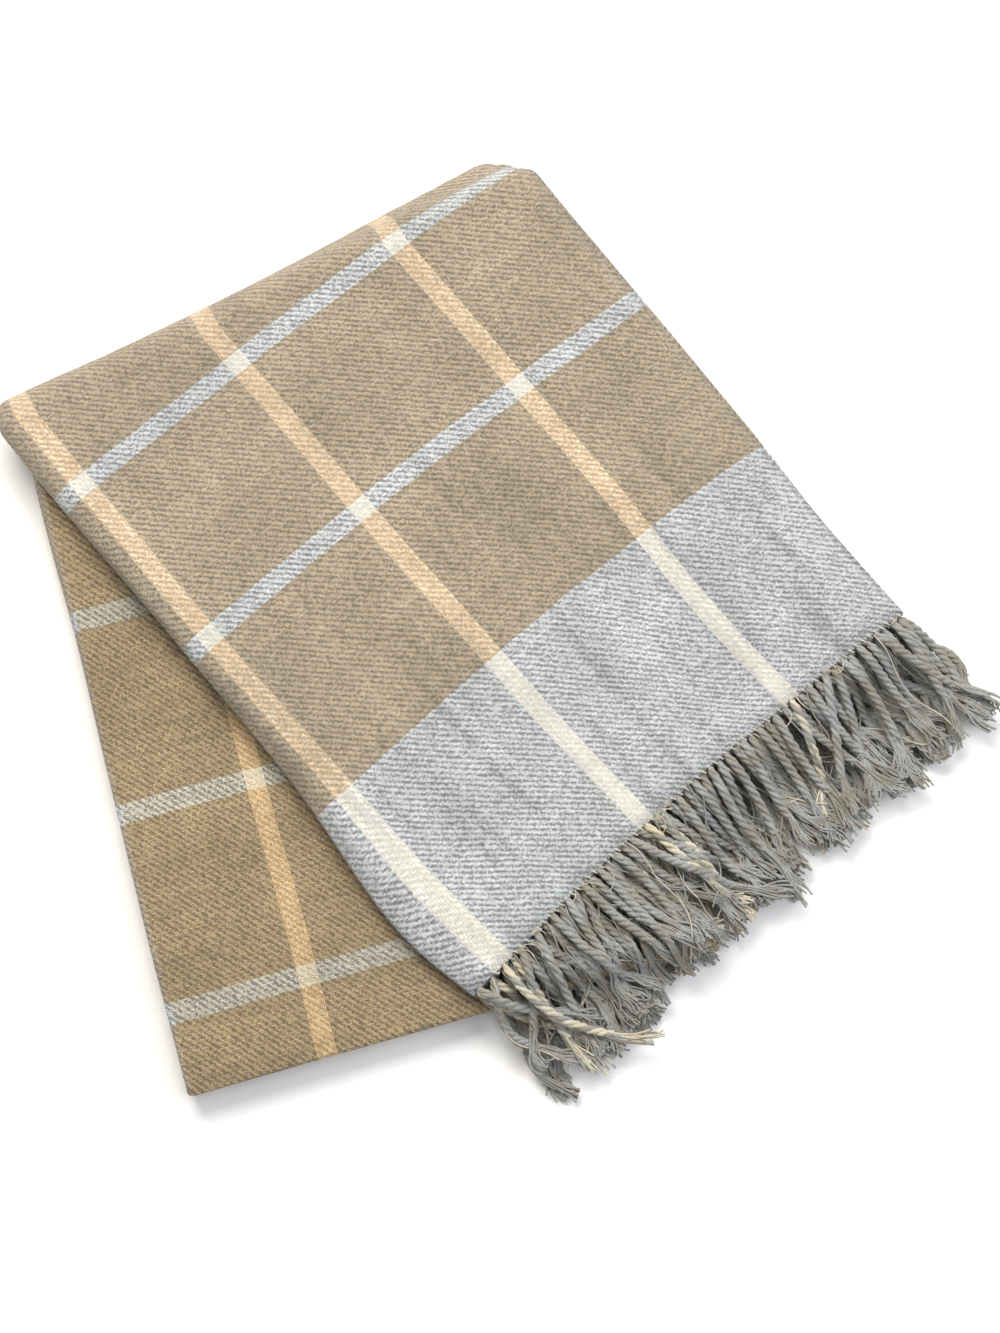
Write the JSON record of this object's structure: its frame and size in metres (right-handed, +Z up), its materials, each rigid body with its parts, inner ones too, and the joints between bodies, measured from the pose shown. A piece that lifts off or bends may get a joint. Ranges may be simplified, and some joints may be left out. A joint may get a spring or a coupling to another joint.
{
  "type": "folded throw blanket",
  "caption": "Woven throw blanket with a windowpane check, folded into a flat packet, with a twisted fringe along the front.",
  "frame": {"origin": "centre of the footprint, on the surface that the blanket lies on", "axes": "+Z up through the stack of layers, -Y towards the fringe, +X towards the selvedge side of the upper half"},
  "size_m": [0.4963, 0.5113, 0.0423],
  "materials": {
    "checked_twill": "soft brushed twill",
    "grey_yarn": "twisted soft yarn",
    "cream_and_grey_yarn": "twisted soft yarn",
    "lock_stitch_thread": "thin thread"
  },
  "bodies": {
    "root": {"quarter_1_upper": "checked_twill", "quarter_4_upper": "checked_twill", "quarter_3_upper": "checked_twill", "quarter_2_upper": "checked_twill", "quarter_1_lower": "checked_twill", "quarter_4_lower": "checked_twill", "quarter_3_lower": "checked_twill", "quarter_2_lower": "checked_twill", "second_fold_upper": "checked_twill", "second_fold_lower": "checked_twill", "first_fold_upper": "checked_twill", "first_fold_lower": "checked_twill", "end_to_end_fold": "checked_twill", "crease_fold": "checked_twill", "near_lock_stitch": "lock_stitch_thread", "far_lock_stitch": "lock_stitch_thread", "quarter_1_near_grey_fringe": "grey_yarn", "quarter_1_far_grey_fringe": "grey_yarn", "quarter_4_near_grey_fringe": "grey_yarn", "quarter_4_far_grey_fringe": "grey_yarn", "quarter_3_near_grey_fringe": "grey_yarn", "quarter_3_far_grey_fringe": "grey_yarn", "quarter_2_near_grey_fringe": "grey_yarn", "quarter_2_far_grey_fringe": "grey_yarn", "quarter_1_near_cream_fringe": "cream_and_grey_yarn", "quarter_1_far_cream_fringe": "cream_and_grey_yarn", "quarter_4_near_cream_fringe": "cream_and_grey_yarn", "quarter_4_far_cream_fringe": "cream_and_grey_yarn", "quarter_3_near_cream_fringe": "cream_and_grey_yarn", "quarter_3_far_cream_fringe": "cream_and_grey_yarn", "quarter_2_near_cream_fringe": "cream_and_grey_yarn", "quarter_2_far_cream_fringe": "cream_and_grey_yarn"}
  },
  "joints": []
}
